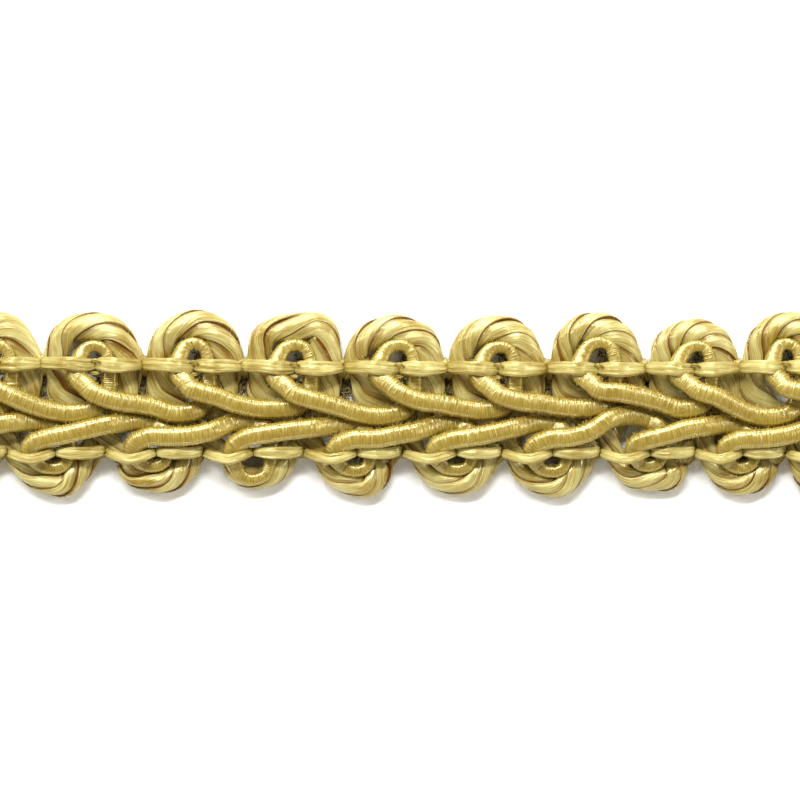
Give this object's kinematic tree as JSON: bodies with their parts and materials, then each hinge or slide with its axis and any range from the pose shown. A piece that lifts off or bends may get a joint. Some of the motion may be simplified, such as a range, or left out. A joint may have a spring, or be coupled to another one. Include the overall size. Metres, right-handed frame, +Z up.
{
  "type": "gimp braid trim",
  "caption": "Flat cut length of gold gimp braid: two looped gimp cords over a scalloped satin cord, held by a chain stitch along each side.",
  "frame": {"origin": "middle of the underside of the whole cut length, on the surface that it lies on", "axes": "+X along the trim, +Y across it towards the upper row of scallops, +Z up from the surface, out of the trim's face"},
  "size_m": [0.0652, 0.0132, 0.003],
  "materials": {
    "gimp": "satin",
    "satin_cord": "satin",
    "chain_thread": "satin"
  },
  "bodies": {
    "root": {"gimp_cord_upper": "gimp", "gimp_cord_lower": "gimp", "scallop_cord": "satin_cord", "chain_upper_front": "chain_thread", "chain_upper_back": "chain_thread", "chain_lower_front": "chain_thread", "chain_lower_back": "chain_thread"}
  },
  "joints": []
}
